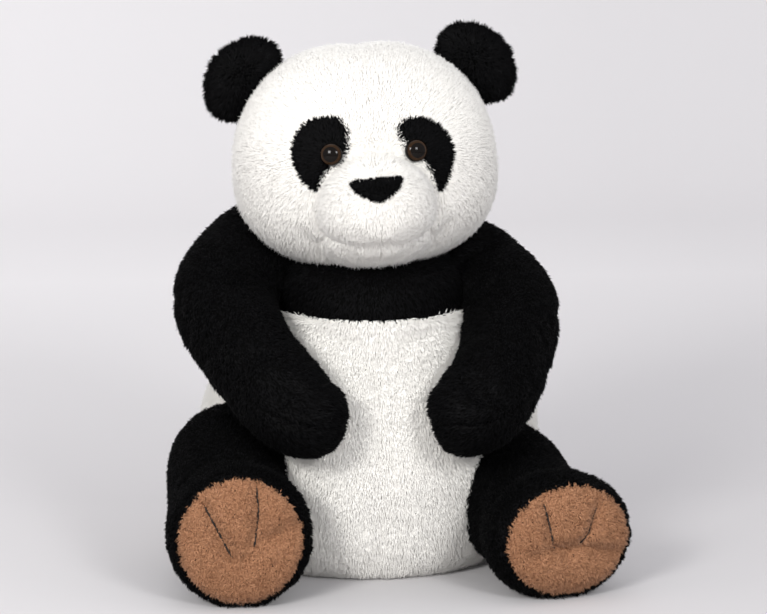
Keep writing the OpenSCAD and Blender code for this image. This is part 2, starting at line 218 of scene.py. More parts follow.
class Shell:
    """A closed surface of rings. After inflate() its verts are the blown up fabric's, and its core the filling's."""

    def __init__(self, name, surface, marks, pitch, columns):
        self.name, self.columns = name, columns
        self.u, self.marks = rows_at(surface, marks, pitch)
        v = np.arange(columns) * TAU / columns
        rings = surface(*np.meshgrid(self.u, v, indexing="ij"))
        n, m = len(self.u), columns
        self.rows = n
        self.verts = np.vstack([rings.reshape(-1, 3), rings[0].mean(0), rings[-1].mean(0)])
        self.row = np.r_[np.repeat(np.arange(n), m), 0, n - 1]
        self.column = np.r_[np.tile(np.arange(m), n), 0, 0]
        i, j = (grid.ravel() for grid in np.meshgrid(np.arange(n - 1), np.arange(m), indexing="ij"))
        k = (j + 1) % m
        self.quads = np.stack([i * m + j, i * m + k, (i + 1) * m + k, (i + 1) * m + j], 1)
        self.quad_row, self.quad_column = i, j
        j = np.arange(m)
        k = (j + 1) % m
        self.first_fan = np.stack([np.full(m, n * m), k, j], 1)
        self.last_fan = np.stack([np.full(m, n * m + 1), (n - 1) * m + j, (n - 1) * m + k], 1)
        a, b, c = self.verts[self.triangles()].transpose(1, 0, 2)
        if (a * np.cross(b, c)).sum() < 0:
            self.quads, self.first_fan, self.last_fan = (
                f[:, ::-1] for f in (self.quads, self.first_fan, self.last_fan))
        self.pinned = np.zeros(len(self.verts), bool)

    def triangles(self):
        return np.vstack([self.quads[:, [0, 1, 2]], self.quads[:, [0, 2, 3]], self.first_fan, self.last_fan])

    def faces(self):
        return [list(map(int, f)) for part in (self.quads, self.first_fan, self.last_fan) for f in part]

    def normals(self):
        t = self.triangles()
        a, b, c = self.verts[t].transpose(1, 0, 2)
        n = np.cross(b - a, c - a)
        total = np.zeros_like(self.verts)
        for k in range(3):
            np.add.at(total, t[:, k], n)
        return unit(total)

    def swell(self, amount):
        self.verts = self.verts + self.normals() * np.asarray(amount).reshape(-1, 1)

    def pin_columns(self, *columns, first=0, last=None):
        last = self.rows if last is None else last
        chosen = np.isin(self.column, [c % self.columns for c in columns])
        self.pinned |= chosen & (self.row >= first) & (self.row <= last)

    def pin_rows(self, *rows):
        self.pinned |= np.isin(self.row, rows)


START_SMALLER, MOST_SWELL, QUICK_SWELL = 1.0, 4.5, 2.5
NEAR_FLOOR = 4
FILLING_DEPTH, EAR_FILLING_DEPTH = 3.4, 1.6
SLACK = {"torso": 0.022, "head": 0.03, "ear": 0.08, "arm": 0.07, "leg": 0.055}
PRESSURE, STIFFNESS, BENDING, VERTEX_MASS = 30, 5, 0.5, 0.001
LAST_FRAME = 20


def inflate(shells):
    """Blows the shells up as cloth with their seams held, so that the fabric between seams puffs.

    The filling keeps the shape from before that, set in from the fabric, so it has none of the fabric's wrinkles."""
    for s in shells:
        s.swell(np.where(s.verts[:, 2] < NEAR_FLOOR, 0.0, -START_SMALLER))
        s.core = s.verts - s.normals() * (EAR_FILLING_DEPTH if "ear" in s.name else FILLING_DEPTH)
    cloths = []
    for s in shells:
        mesh = bpy.data.meshes.new(s.name + "_cloth")
        mesh.from_pydata((s.verts * MM).tolist(), [], s.faces())
        o = bpy.data.objects.new(s.name + "_cloth", mesh)
        scene.collection.objects.link(o)
        pins = o.vertex_groups.new(name="pins")
        pins.add([int(k) for k in np.flatnonzero(s.pinned)], 1.0, "REPLACE")
        m = o.modifiers.new("Cloth", "CLOTH")
        c = m.settings
        c.quality = 4
        c.mass = VERTEX_MASS
        c.tension_stiffness = c.compression_stiffness = c.shear_stiffness = STIFFNESS
        c.bending_stiffness = BENDING
        c.shrink_min = -SLACK[s.name.split("_")[0]]
        c.vertex_group_mass = "pins"
        c.use_pressure, c.uniform_pressure_force = True, PRESSURE
        c.effector_weights.gravity = 0
        m.collision_settings.use_collision = False
        m.point_cache.frame_start, m.point_cache.frame_end = 1, LAST_FRAME
        cloths.append(o)
    scene.frame_start, scene.frame_end = 1, LAST_FRAME
    for f in range(1, LAST_FRAME + 1):
        scene.frame_set(f)
    dg = bpy.context.evaluated_depsgraph_get()
    for s, o in zip(shells, cloths):
        blown = o.evaluated_get(dg).to_mesh()
        co = np.empty(len(blown.vertices) * 3, np.float32)
        blown.vertices.foreach_get("co", co)
        move = co.reshape(-1, 3) / MM - s.verts
        far = np.linalg.norm(move, axis=1, keepdims=True)
        s.verts = s.verts + move * np.minimum(1, MOST_SWELL / np.maximum(far, 1e-9))
        o.evaluated_get(dg).to_mesh_clear()
        mesh = o.data
        bpy.data.objects.remove(o)
        bpy.data.meshes.remove(mesh)
    scene.frame_set(1)


# ---------- making pieces ----------
def object_of(name, verts, faces, materials, smooth_shading=True):
    mesh = bpy.data.meshes.new(name)
    mesh.from_pydata((np.asarray(verts) * MM).tolist(), [], [list(map(int, f)) for f in faces])
    mesh.polygons.foreach_set("use_smooth", [smooth_shading] * len(mesh.polygons))
    for m in materials:
        mesh.materials.append(m)
    o = bpy.data.objects.new(name, mesh)
    scene.collection.objects.link(o)
    return o


def apply_modifiers(o):
    dg = bpy.context.evaluated_depsgraph_get()
    mesh = bpy.data.meshes.new_from_object(o.evaluated_get(dg), depsgraph=dg)
    old = o.data
    o.modifiers.clear()
    o.data = mesh
    mesh.name = o.name
    bpy.data.meshes.remove(old)


def arrays_of(mesh):
    """The verts in mm, the triangles and the vertex normals of a mesh."""
    co = np.empty(len(mesh.vertices) * 3, np.float32)
    mesh.vertices.foreach_get("co", co)
    mesh.calc_loop_triangles()
    tri = np.empty(len(mesh.loop_triangles) * 3, np.int32)
    mesh.loop_triangles.foreach_get("vertices", tri)
    n = np.empty(len(mesh.vertices) * 3, np.float32)
    mesh.vertex_normals.foreach_get("vector", n)
    return co.reshape(-1, 3).astype(float) / MM, tri.reshape(-1, 3), n.reshape(-1, 3).astype(float)


def settle(o, where, slot, *nodes):
    """Gives a piece its body and hides the CAD nodes that it replaces. slot is not used.

    where is a body's name, or (body, body, start, end) in mm for fabric between two bodies, which is left in place on
    no body."""
    if isinstance(where, str):
        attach(o, where)
    else:
        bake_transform(o)
    if nodes:
        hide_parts(*nodes)


FABRIC = 2.0


def fabric_panel(name, shell, chosen, where, plush, fans=(), stands_for=None):
    """A sewn panel cut from the shell: subdivided, given the fabric's thickness, and placed.

    It stands for the CAD node of its name, or for stands_for. Returns its outer surface for the pile to grow from."""
    faces = [f for part in (shell.quads[chosen], *fans) for f in part]
    used = np.unique(np.concatenate(faces))
    place = {v: k for k, v in enumerate(used)}
    o = object_of(name + "_fabric", shell.verts[used], [[place[v] for v in f] for f in faces], [plush.fabric])
    sub = o.modifiers.new("Sub", "SUBSURF")
    sub.levels = sub.render_levels = 1
    sub.boundary_smooth = "PRESERVE_CORNERS"
    apply_modifiers(o)
    outer = arrays_of(o.data)
    solid = o.modifiers.new("Thick", "SOLIDIFY")
    solid.thickness, solid.offset = FABRIC * MM, -1
    apply_modifiers(o)
    settle(o, where, plush.slot, *(stands_for or [name]))
    return outer


def filling(name, shell, where, stands_for, dark=True):
    """The stuffing under the fabric. dark says whether each face lies under black fabric, and is lined in black."""
    o = object_of(name, shell.core, shell.faces(), [STUFFING, BLACK.fabric])
    o.data.polygons.foreach_set("material_index", np.zeros(len(o.data.polygons), np.int32) + dark)
    settle(o, where, "stuffing", stands_for)


# ---------- pile ----------
# A tuft is three verts at its root, three at its bend and one at its tip.
TUFT_VERTS = 7
TUFT_TRIANGLES = np.array([0, 1, 4, 0, 4, 3, 1, 2, 5, 1, 5, 4, 2, 0, 3, 2, 3, 5, 3, 4, 6, 4, 5, 6, 5, 3, 6, 0, 2, 1])


def scatter(outer, per_mm2, rng, keep=None):
    """Random points on a surface with their normals, where keep holds."""
    verts, tris, normals = outer
    a, b, c = verts[tris].transpose(1, 0, 2)
    area = np.linalg.norm(np.cross(b - a, c - a), axis=1) / 2
    count = int(area.sum() * per_mm2 * (1))
    pick = rng.choice(len(tris), count, p=area / area.sum())
    s, t = rng.random(count), rng.random(count)
    over = s + t > 1
    s[over], t[over] = 1 - s[over], 1 - t[over]
    w = np.stack([1 - s - t, s, t], 1)[..., None]
    p, n = (verts[tris[pick]] * w).sum(1), unit((normals[tris[pick]] * w).sum(1))
    chosen = keep(p, n) if keep else slice(None)
    return p[chosen], n[chosen]


def pile(name, roots, normals, comb, where, plush, rng, length, width, lean, jitter=0.3, clump=0.35, clump_size=7.0,
         soft=0.3, floor=0.3, root_depth=0.8):
    """One closed, tapered, bent tuft of fibres for each root. comb is the way the pile lies, and lean how far.

    The tufts are shaded mostly as the surface they grow from, and soft is how much of each tuft's own side shows."""
    n = len(roots)
    way = comb - normals * (comb * normals).sum(1, keepdims=True)
    way = way + rng.normal(0, jitter, (n, 3))
    tall = length * rng.uniform(0.75, 1.2, (n, 1))
    first = unit(normals + way * lean * 0.55)
    second = unit(normals * 0.5 + way * lean)
    base = roots - normals * root_depth
    middle = base + first * tall * 0.5
    tip = middle + second * tall * 0.55
    cell = np.floor(roots / clump_size).astype(np.int64)
    order = np.unique(cell, axis=0, return_inverse=True)[1].ravel()
    leaders = np.zeros(order.max() + 1, int)
    leaders[order] = np.arange(n)
    tree = KDTree(len(leaders))
    for k, lead in enumerate(leaders):
        tree.insert(roots[lead], k)
    tree.balance()
    nearest = leaders[[tree.find(p)[1] for p in roots]]
    pull = clump * rng.uniform(0.3, 1, (n, 1))
    tip = tip + (tip[nearest] - tip) * pull
    middle = middle + (middle[nearest] - middle) * pull * 0.35
    across = unit(np.cross(first, rng.normal(0, 1, (n, 3))))
    other = np.cross(first, across)
    wide = width * rng.uniform(0.7, 1.3, (n, 1)) / 2
    verts, shading = np.empty((n, TUFT_VERTS, 3)), np.empty((n, TUFT_VERTS, 3))
    for k in range(3):
        a = TAU * k / 3
        spoke = across * math.cos(a) + other * math.sin(a)
        verts[:, k] = base + spoke * wide
        verts[:, 3 + k] = middle + spoke * wide * 0.8
        shading[:, k] = shading[:, 3 + k] = normals + spoke * soft
    verts[:, 6] = tip
    shading[:, 6] = normals + (tip - middle) / tall * soft
    verts[..., 2] = np.maximum(verts[..., 2], floor)
    loops = (np.arange(n)[:, None] * TUFT_VERTS + TUFT_TRIANGLES).ravel()
    sides = len(TUFT_TRIANGLES) // 3
    name += "_pile"
    mesh = bpy.data.meshes.new(name)
    mesh.vertices.add(n * TUFT_VERTS)
    mesh.vertices.foreach_set("co", (verts * MM).astype(np.float32).ravel())
    mesh.loops.add(len(loops))
    mesh.loops.foreach_set("vertex_index", loops.astype(np.int32))
    mesh.polygons.add(n * sides)
    mesh.polygons.foreach_set("loop_start", np.arange(0, len(loops), 3, dtype=np.int32))
    mesh.polygons.foreach_set("use_smooth", np.ones(n * sides, bool))
    tone = rng.choice(len(plush.tones), n, p=plush.shares)
    mesh.polygons.foreach_set("material_index", np.repeat(tone, sides).astype(np.int32))
    for m in plush.tones:
        mesh.materials.append(m)
    mesh.update()
    mesh.normals_split_custom_set_from_vertices(unit(shading).reshape(-1, 3).tolist())
    o = bpy.data.objects.new(name, mesh)
    scene.collection.objects.link(o)
    settle(o, where, plush.slot)


# ---------- materials ----------
def node_material(name, roughness=0.85, sheen=0.0, specular=0.5):
    m = bpy.data.materials.new(name)
    m.use_nodes = True
    b = m.node_tree.nodes["Principled BSDF"]
    b.inputs["Roughness"].default_value = roughness
    b.inputs["Sheen Weight"].default_value = sheen
    b.inputs["Specular IOR Level"].default_value = specular
    return m, m.node_tree, b


def noise_node(tree, scale, detail):
    noise = tree.nodes.new("ShaderNodeTexNoise")
    noise.inputs["Scale"].default_value = scale
    noise.inputs["Detail"].default_value = detail
    return noise


def ramp_node(tree, b, factor, low, dark, high, light):
    """A blend from dark at low to light at high, as the base colour of b."""
    ramp = tree.nodes.new("ShaderNodeValToRGB")
    for stop, position, colour in zip(ramp.color_ramp.elements, (low, high), (dark, light)):
        stop.position, stop.color = position, (*colour, 1)
    tree.links.new(factor, ramp.inputs["Fac"])
    tree.links.new(ramp.outputs["Color"], b.inputs["Base Color"])


def tones(name, colours, **settings):
    """Plain fibre materials, one for each colour, shared out among the tufts of a pile."""
    made = []
    for k, colour in enumerate(colours):
        m, _, b = node_material(f"{name}_{k}", **settings)
        b.inputs["Base Color"].default_value = (*colour, 1)
        made.append(m)
    return made


def fabric_material(name, dark, light, scale, bump=0.4, **settings):
    """Backing cloth seen between the tufts: mottled, with the pile's fine grain in its bump."""
    m, tree, b = node_material(name, **settings)
    nodes, links = tree.nodes, tree.links
    where = nodes.new("ShaderNodeTexCoord")
    patches, grain = noise_node(tree, scale / 8, 4), noise_node(tree, scale, 6)
    mix = nodes.new("ShaderNodeMath")
    mix.operation = "MULTIPLY"
    bumps = nodes.new("ShaderNodeBump")
    bumps.inputs["Strength"].default_value = bump
    bumps.inputs["Distance"].default_value = 0.002
    for n in (patches, grain):
        links.new(where.outputs["Object"], n.inputs["Vector"])
    links.new(patches.outputs["Fac"], mix.inputs[0])
    links.new(grain.outputs["Fac"], mix.inputs[1])
    ramp_node(tree, b, mix.outputs[0], 0.12, dark, 0.4, light)
    links.new(grain.outputs["Fac"], bumps.inputs["Height"])
    links.new(bumps.outputs["Normal"], b.inputs["Normal"])
    return m


Plush = namedtuple("Plush", "slot fabric tones shares")
WHITE = Plush("white_plush",
              fabric_material("white_fabric", (0.90, 0.88, 0.83), (0.94, 0.92, 0.875), 420, sheen=0.3),
              tones("white_pile", [(0.93, 0.91, 0.86), (0.91, 0.89, 0.84), (0.94, 0.92, 0.875), (0.89, 0.87, 0.82)],
                    roughness=0.8, sheen=0.3, specular=0.15),
              [0.4, 0.25, 0.25, 0.1])
BLACK = Plush("black_plush",
              fabric_material("black_fabric", (0.001, 0.001, 0.001), (0.002, 0.002, 0.002), 420, specular=0.04,
                              sheen=0.005),
              tones("black_pile", [(0.0018, 0.0018, 0.0021), (0.0028, 0.0028, 0.0031), (0.0012, 0.0012, 0.0014),
                                   (0.005, 0.005, 0.0055)], roughness=0.6, sheen=0.005, specular=0.05),
              [0.4, 0.3, 0.2, 0.1])
TAN = Plush("tan_plush",
            fabric_material("tan_fabric", (0.24, 0.11, 0.055), (0.38, 0.19, 0.10), 420, sheen=0.1),
            tones("tan_pile", [(0.355, 0.175, 0.092), (0.30, 0.145, 0.074), (0.42, 0.212, 0.115),
                               (0.225, 0.10, 0.05)], roughness=0.8, sheen=0.12, specular=0.15),
            [0.4, 0.25, 0.25, 0.1])
STUFFING = fabric_material("stuffing_fibre", (0.75, 0.75, 0.74), (0.9, 0.9, 0.9), 160, bump=0.8, sheen=0.3)
THREAD = fabric_material("thread", (0.004, 0.004, 0.004), (0.012, 0.012, 0.012), 1500, roughness=0.6, specular=0.3)

# ---------- torso ----------
TORSO_STATIONS = [
    [0, -4, 1, 100, 99],
    [0, -4, 10, 118, 113],
    [0, -3, 45, 136, 122],
    [0, -2, 90, 141, 125],
    [0, 0, 135, 137, 118],
    [0, 2, 175, 110, 107],
    [0, 2, 215, 84, 97],
    [0, 1, 234, 84, 91],
    [0, 0, 249, 78, 82],
    [0, -2, 260, 60, 64]]
YOKE_U = 5.97 / (len(TORSO_STATIONS) - 1)
torso_surface = upright(TORSO_STATIONS)
torso = Shell("torso", torso_surface, [0, YOKE_U, 1], 6.5, 128)
torso_q = squared(TORSO_STATIONS)


def inside_torso(p, depth):
    """Whether each point is more than depth inside the torso."""
    u = np.linspace(0, 1, 200)
    s = along(torso_q, u)
    z = np.maximum.accumulate(s[:, 2])
    rx, ry = (np.sqrt(np.interp(p[:, 2], z, s[:, k])) - depth for k in (3, 4))
    cy = np.interp(p[:, 2], z, s[:, 1])
    within = (p[:, 0] / np.maximum(rx, 1)) ** 2 + ((p[:, 1] - cy) / np.maximum(ry, 1)) ** 2 < 1
    return within & (p[:, 2] < z[-1] - depth)


FLAT_BASE = 3
yoke_row = torso.marks[1]
half, quarter = torso.columns // 2, torso.columns // 4
torso.pin_rows(0, yoke_row)
torso.pin_columns(-quarter, last=yoke_row)
torso.pin_columns(0, quarter, half)
torso.pinned |= torso.verts[:, 2] < FLAT_BASE
torso.pinned[-2:] = True

# ---------- head ----------
MUZZLE_U = 1 - 31 / 180
head = Shell("head", head_surface, [0.008, 0.5, MUZZLE_U, 0.985], 5.2, 104)
crown_row, muzzle_row = head.marks[1:3]
head_quarter = head.columns // 4
head.pin_columns(head_quarter, -head_quarter, last=crown_row)
head.pin_columns(-head_quarter, first=muzzle_row + 4)
head.pin_rows(0, head.rows - 1)
head.pinned[-2:] = True

# The creases round the snout and over the chin are held too.
FACE_FRONT = -80
upright_verts = untilted(head.verts)
way = unit(upright_verts - HEAD_MID)
skull, snout, chin = skull_reach(way), snout_reach(way), reach(way, *CHIN)
head.pinned |= (np.abs(skull - snout) < 2.5) & (upright_verts[:, 1] < FACE_FRONT)
head.pinned |= (np.abs(chin - snout) < 1.5) & (snout > skull + 2)

# ---------- ears ----------
EAR_LEAN = math.degrees(math.atan2(95.5, 86))
EAR_STATIONS = [
    [0, 0, -14, 0, 0],
    [0, 0, -10, 22, 7],
    [0, 0, -3, 31, 9],
    [0, -1, 8, 36, 10],
    [0, -1, 20, 33.5, 10],
    [0, 0, 31.5, 21, 7],
    [0, 0, 37, 0, 0]]
EAR_FORWARD = -10
EAR_ASIDE = {RIGHT: (-1.5, -1.2), LEFT: (2.9, 2.6)}
ears = {}
for side in (RIGHT, LEFT):
    frame_turn = TILT @ turn((0, 1, 0), side * EAR_LEAN)
    hinge = HINGE[f"ear_{SIDE[side]}_flex"]
    shift = np.array([EAR_ASIDE[side][0], EAR_FORWARD, EAR_ASIDE[side][1], 0, 0])
    surface = placed(limb(np.array(EAR_STATIONS, float) + shift, [0, 1, 0]), frame_turn, hinge)
    ear = ears[side] = Shell(f"ear_{SIDE[side]}", surface, [0.02, 0.98], 4, 40)
    ear.pin_columns(0, ear.columns // 2)
    ear.axis, ear.hinge = frame_turn[:, 2], hinge

# ---------- arms ----------
# The right arm's stations are mirrored when it is made.
ARM_STATIONS = {
    RIGHT: [[50, 8, 263, 0, 0], [56, 7, 263, 26, 26], [80, 2, 262, 40, 40], [103, -12, 248, 42, 42],
            [122, -45, 224, 40, 40], [107, -92, 193, 36, 36], [87, -125, 168, 34, 35], [66, -143, 149, 33, 33],
            [46, -152, 142, 25, 26], [36, -156, 140, 0, 0]],
    LEFT: [[50, 8, 250, 0, 0], [56, 7, 250, 26, 26], [77, 2, 245, 39, 39], [97, -12, 231, 40, 41],
           [113, -46, 210, 39, 40], [102, -92, 181, 36, 37], [87, -125, 160, 34, 35], [69, -143, 146, 33, 32],
           [51, -152, 142, 25, 25], [42, -156, 141, 0, 0]]}
ARM_WAY = unit([0.35, -0.8, -0.45])
arms = {}
for side in (RIGHT, LEFT):
    surface = placed(limb(ARM_STATIONS[side], [0, 0, 1]), np.eye(3), 0, mirrored=side == RIGHT)
    arm = arms[side] = Shell(f"arm_{SIDE[side]}", surface, [0.012, 0.99], 5.2, 52)
    arm.pin_columns(0, arm.columns // 2)
    hinge = HINGE[f"arm_{SIDE[side]}_raise"]
    way = ARM_WAY * [side, 1, 1]
    arm.where = ("torso", f"arm_{SIDE[side]}", hinge - way * 22, hinge + way * 34)

# ---------- legs ----------
LEG_SPLAY = {RIGHT: -3, LEFT: 17}
FOOT = {RIGHT: dict(across=54.5, high=55, drop=-9, aside=2.2),
        LEFT: dict(across=59, high=49, drop=-15, aside=6)}
LEG_LOWEST = 1.5


def leg_stations(side):
    """The thigh, and then the foot band and the sole, whose edge rolls over."""
    f = FOOT[side]
    w, h, z = f["across"], f["high"], f["drop"]
    thigh = {
        RIGHT: [[-2, 48, 6, 0, 0], [-2, 40, 6, 28, 28], [-4, 12, 10, 51, 56], [-5, -18, 11, 52, 65],
                [-7, -52, 5, 47, 58], [-3, -80, z + 1, 51, 55]],
        LEFT: [[4, 48, 0, 0, 0], [4, 40, 0, 26, 26], [5, 12, 1, 45, 51], [5, -18, -1, 47, 53],
               [5, -54, -9, 48, 45], [3, -80, z + 0.5, 53, 46.5]]}[side]
    x = f["aside"]
    return thigh + [[x, -98, z, w, h], [x, -108, z, w, h], [x, -114, z, w - 2.5, h - 2.5],
                    [x, -117, z, w - 6, h - 5], [x, -119.2, z, w - 22, h - 22], [x, -119.8, z, 0, 0]]


legs = {}
for side in (RIGHT, LEFT):
    stations = leg_stations(side)
    last = len(stations) - 1
    leg_turn = turn((0, 0, 1), LEG_SPLAY[side])
    hinge = HINGE[f"leg_{SIDE[side]}_spread"]
    surface = placed(forward(stations), leg_turn, hinge)
    leg = legs[side] = Shell(f"leg_{SIDE[side]}", surface, [0.012, 5 / last, 9 / last, 0.99], 5.2, 68)
    leg.verts[:, 2] = np.maximum(leg.verts[:, 2], LEG_LOWEST)
    leg.pin_columns(0, leg.columns // 2, last=leg.marks[1])
    leg.pin_rows(*leg.marks[1:3])
    leg.pinned |= leg.verts[:, 2] < FLAT_BASE
    leg.turned, leg.hinge = leg_turn, hinge
    leg.ahead = leg_turn @ np.array([0, -1.0, 0])
    leg.where = ("torso", f"leg_{SIDE[side]}", hinge - leg.ahead * 12, hinge + leg.ahead * 45)

inflate([torso, head, *ears.values(), *arms.values(), *legs.values()])
TORSO_LOWEST = 1.0
torso.verts[:, 2] = np.maximum(torso.verts[:, 2], TORSO_LOWEST)

# ---------- torso pieces ----------
filling("torso_fill", torso, "torso", "torso_stuffing",
        np.concatenate([torso.quad_row >= yoke_row, torso.first_fan[:, 0] < 0, torso.last_fan[:, 0] >= 0]))
rng = np.random.default_rng(7)
DOWN = np.array([0, 0, -1.0])


def torso_comb(p):
    """Down, and parted along the belly seam."""
    part = np.exp(-np.abs(p[:, 0]) / 3) * 0.25
    return DOWN + ACROSS * (np.sign(p[:, 0]) * part)[:, None]


def on_floor(p, n):
    """Whether each point, with its normal, is on the underside that the toy sits on."""
    return (p[:, 2] < 2.5) & (n[:, 2] < -0.5)


def inside_head(p, depth):
    """Whether each point is more than depth inside the head."""
    q = untilted(p) - HEAD_MID
    far = np.linalg.norm(q, axis=1)
    return far < head_reach(unit(q)) - depth


# Each panel's name, the quarters of the torso that it covers, its fabric and its tufts for each square millimetre.
for name, first, wide, plush, per_mm2 in (
        ("back_left", 0, 1, WHITE, 0.5), ("back_right", 1, 1, WHITE, 0.5), ("belly_right", 2, 1, WHITE, 0.78),
        ("belly_left", 3, 1, WHITE, 0.78), ("yoke_back", 0, 2, BLACK, 0.45), ("yoke_front", 2, 2, BLACK, 0.45)):
    start, end = first * quarter, (first + wide) * quarter
    columns = (torso.quad_column >= start) & (torso.quad_column < end)
    if plush is WHITE:
        rows, fans = torso.quad_row < yoke_row, []
        look = dict(length=6.5, lean=1.6, clump=0.06, soft=0.1)
    else:
        rows, fans = torso.quad_row >= yoke_row, [torso.last_fan[start:end]]
        look = dict(length=5.5, lean=1.2, clump=0.3)
    nodes = [name] + (["seat_panel"] if name == "belly_left" else [])
    outer = fabric_panel(name, torso, columns & rows, "torso", plush, fans, nodes)
    p, n = scatter(outer, per_mm2, rng, lambda p, n: ~inside_head(p, 10) & ~on_floor(p, n))
    pile(name, p, n, torso_comb(p), "torso", plush, rng, width=1.2, **look)

m = torso.columns
under = torso.verts[:m] * [0.995, 0.995, 0]
seat = object_of("seat_fabric", np.vstack([under + [0, 0, 0.4], under + [0, 0, 2.4]]),
                 [list(range(m))[::-1], list(range(m, 2 * m))]
                 + [[k, (k + 1) % m, m + (k + 1) % m, m + k] for k in range(m)], [WHITE.fabric], smooth_shading=False)
settle(seat, "torso", WHITE.slot, "seat_panel")

# ---------- neck ----------
neck_shell = Shell("neck", upright([[0, -4, 232, 0, 0], [0, -4, 236, 46, 50], [0, -6, 250, 52, 60],
                                    [0, -6, 264, 52, 60], [0, -4, 276, 40, 46], [0, -4, 280, 0, 0]]),
                   [0.02, 0.98], 6, 48)
o = object_of("neck_fill", neck_shell.verts, neck_shell.faces(), [BLACK.fabric])
settle(o, ("neck", "head", (0, -4, 250), (0, -4, 272)), BLACK.slot, "neck_stuffing")

# ---------- head pieces ----------
filling("head_fill", head, "head", "head_stuffing", False)
head_tree = BVHTree.FromPolygons([tuple(v) for v in untilted(head.verts)], head.faces())


def on_fabric(directions, lift):
    """Points on the inflated head, in its untilted frame, along directions from HEAD_MID."""
    out = []
    for d in directions:
        hit, normal, _, _ = head_tree.ray_cast(Vector(HEAD_MID + d * 200), Vector(-d))
        out.append(np.array(hit) + np.array(normal) * lift)
    return np.array(out)


OUTLINE_POINTS = 64


def rounded_outline(corners):
    """A closed curve through corners, in the plane of the face: across and up."""
    c = np.array(corners, float)
    n = len(c)
    t = np.arange(OUTLINE_POINTS) / OUTLINE_POINTS * n
    i, s = t.astype(int), (t % 1)[:, None]
    a, b, e, f = (c[(i + k) % n] for k in (-1, 0, 1, 2))
    return 0.5 * (2 * b + (e - a) * s + (2 * a - 5 * b + 4 * e - f) * s**2 + (3 * b - a - 3 * e + f) * s**3)


def in_outline(p, outline):
    """Whether each point of the face, in the untilted frame, lies inside the outline."""
    x, z = p[:, 0], p[:, 2]
    inside = np.zeros(len(p), bool)
    for (x0, z0), (x1, z1) in zip(outline, np.roll(outline, -1, axis=0)):
        crosses = (z0 > z) != (z1 > z)
        inside ^= crosses & (x < (x1 - x0) * (z - z0) / (z1 - z0 + 1e-12) + x0)
    return inside & (p[:, 1] < -60)


def shrunk(outline, by):
    """The outline drawn in towards its middle by a distance."""
    middle = outline.mean(0)
    d = outline - middle
    far = np.linalg.norm(d, axis=1, keepdims=True)
    return middle + d * (1 - by / far)


PATCHES = {
    RIGHT: rounded_outline([(-35, 382), (-25, 380.5), (-19.5, 372), (-19.5, 360), (-24, 350.5), (-33, 344.5),
                            (-40, 339), (-44, 331), (-48, 325.5), (-55, 331), (-61.5, 342), (-64, 356), (-59, 371),
                            (-48, 380.5)]),
    LEFT: rounded_outline([(36, 377.5), (26, 376), (19, 369), (22, 360.5), (28, 354.5), (33, 349), (40, 343.5),
                           (46, 335), (48.5, 325), (52, 317.5), (58.5, 327), (64, 342), (63.5, 356), (56, 368),
                           (46, 375)])}
NOSE_OUTLINE = rounded_outline([(-21, 329.5), (-19, 332), (-10, 332.5), (-1, 333), (8, 333), (16.5, 333),
                                (18.5, 331), (10.5, 323.5), (1.5, 318.5), (-3.5, 318.5), (-13, 323)])
PAD_THICK = 1.2
PAD_RINGS = [0.25, 0.5, 0.75, 0.93, 1.0]
PAD_LIFTS = [1, 1, 1, 1, 0.8, 0.2]


def face_pad(name, outline, lift, plush):
    """A pad on the face inside an outline, thinner at its edge. Returns its outer surface for the pile."""
    middle, m = outline.mean(0), len(outline)
    flat = [middle[None]] + [middle + (outline - middle) * share for share in PAD_RINGS]
    top = []
    for f, share in zip(flat, PAD_LIFTS):
        d = unit(np.c_[f[:, 0], np.full(len(f), -105.0), f[:, 1]] - HEAD_MID)
        for _ in range(4):
            d = unit(np.c_[f[:, 0], on_fabric(d, 0)[:, 1], f[:, 1]] - HEAD_MID)
        top.append(on_fabric(d, lift * share))
    verts = np.vstack(top)
    n_top = len(verts)
    inner = verts - unit(verts - HEAD_MID) * (PAD_THICK + lift)
    verts = tilted(np.vstack([verts, inner]))
    faces = [[0, 1 + k, 1 + (k + 1) % m] for k in range(m)]
    for r in range(len(PAD_RINGS) - 1):
        faces += [[1 + r * m + k, 1 + (r + 1) * m + k, 1 + (r + 1) * m + (k + 1) % m, 1 + r * m + (k + 1) % m]
                  for k in range(m)]
    under = [[n_top + v for v in f[::-1]] for f in faces]
    rim = 1 + (len(PAD_RINGS) - 1) * m
    walls = [[rim + k, n_top + rim + k, n_top + rim + (k + 1) % m, rim + (k + 1) % m] for k in range(m)]
    o = object_of(name + "_fabric", verts, faces + under + walls, [plush.fabric])
    t = np.array([f for q in faces for f in ([q[:3]] if len(q) == 3 else [q[:3], [q[0], q[2], q[3]]])])
    a, b, c = verts[t].transpose(1, 0, 2)
    normals = np.zeros_like(verts)
    cross = np.cross(b - a, c - a)
    if (cross * (a - tilted(HEAD_MID))).sum() < 0:
        o.data.flip_normals()
        t, cross = t[:, ::-1], -cross
    for k in range(3):
        np.add.at(normals, t[:, k], cross)
    settle(o, "head", plush.slot, name)
    return verts, t, unit(normals)


# The CAD's direction of an eye from the middle of the head, and how far each eye sits from there in the photograph.
EYE_DIR = unit([34.5, -92, 353 - HEAD_MID[2]])
EYE_ASIDE = {RIGHT: (3.2, 0, -0.8), LEFT: (-3.4, 0, -2.2)}
EYE_SUNK = {RIGHT: 0.8, LEFT: 2.2}
EYE_CLEAR = 7.5
EYE_SPLAY, EYE_DROOP = 14, 6


def eye_frame(side):
    """The seat of an eye on the fabric, and its axes as columns, in the frame of the tilted head."""
    way = EYE_DIR * [side, 1, 1]
    d = way * np.linalg.norm(on_fabric([way], 0)[0] - HEAD_MID)
    seat = on_fabric([unit(d + np.array(EYE_ASIDE[side]))], 0)[0]
    axes = turn((0, 0, 1), side * EYE_SPLAY) @ turn((1, 0, 0), 90 - EYE_DROOP)
    return tilted(seat - axes[:, 2] * EYE_SUNK[side]), TILT @ axes


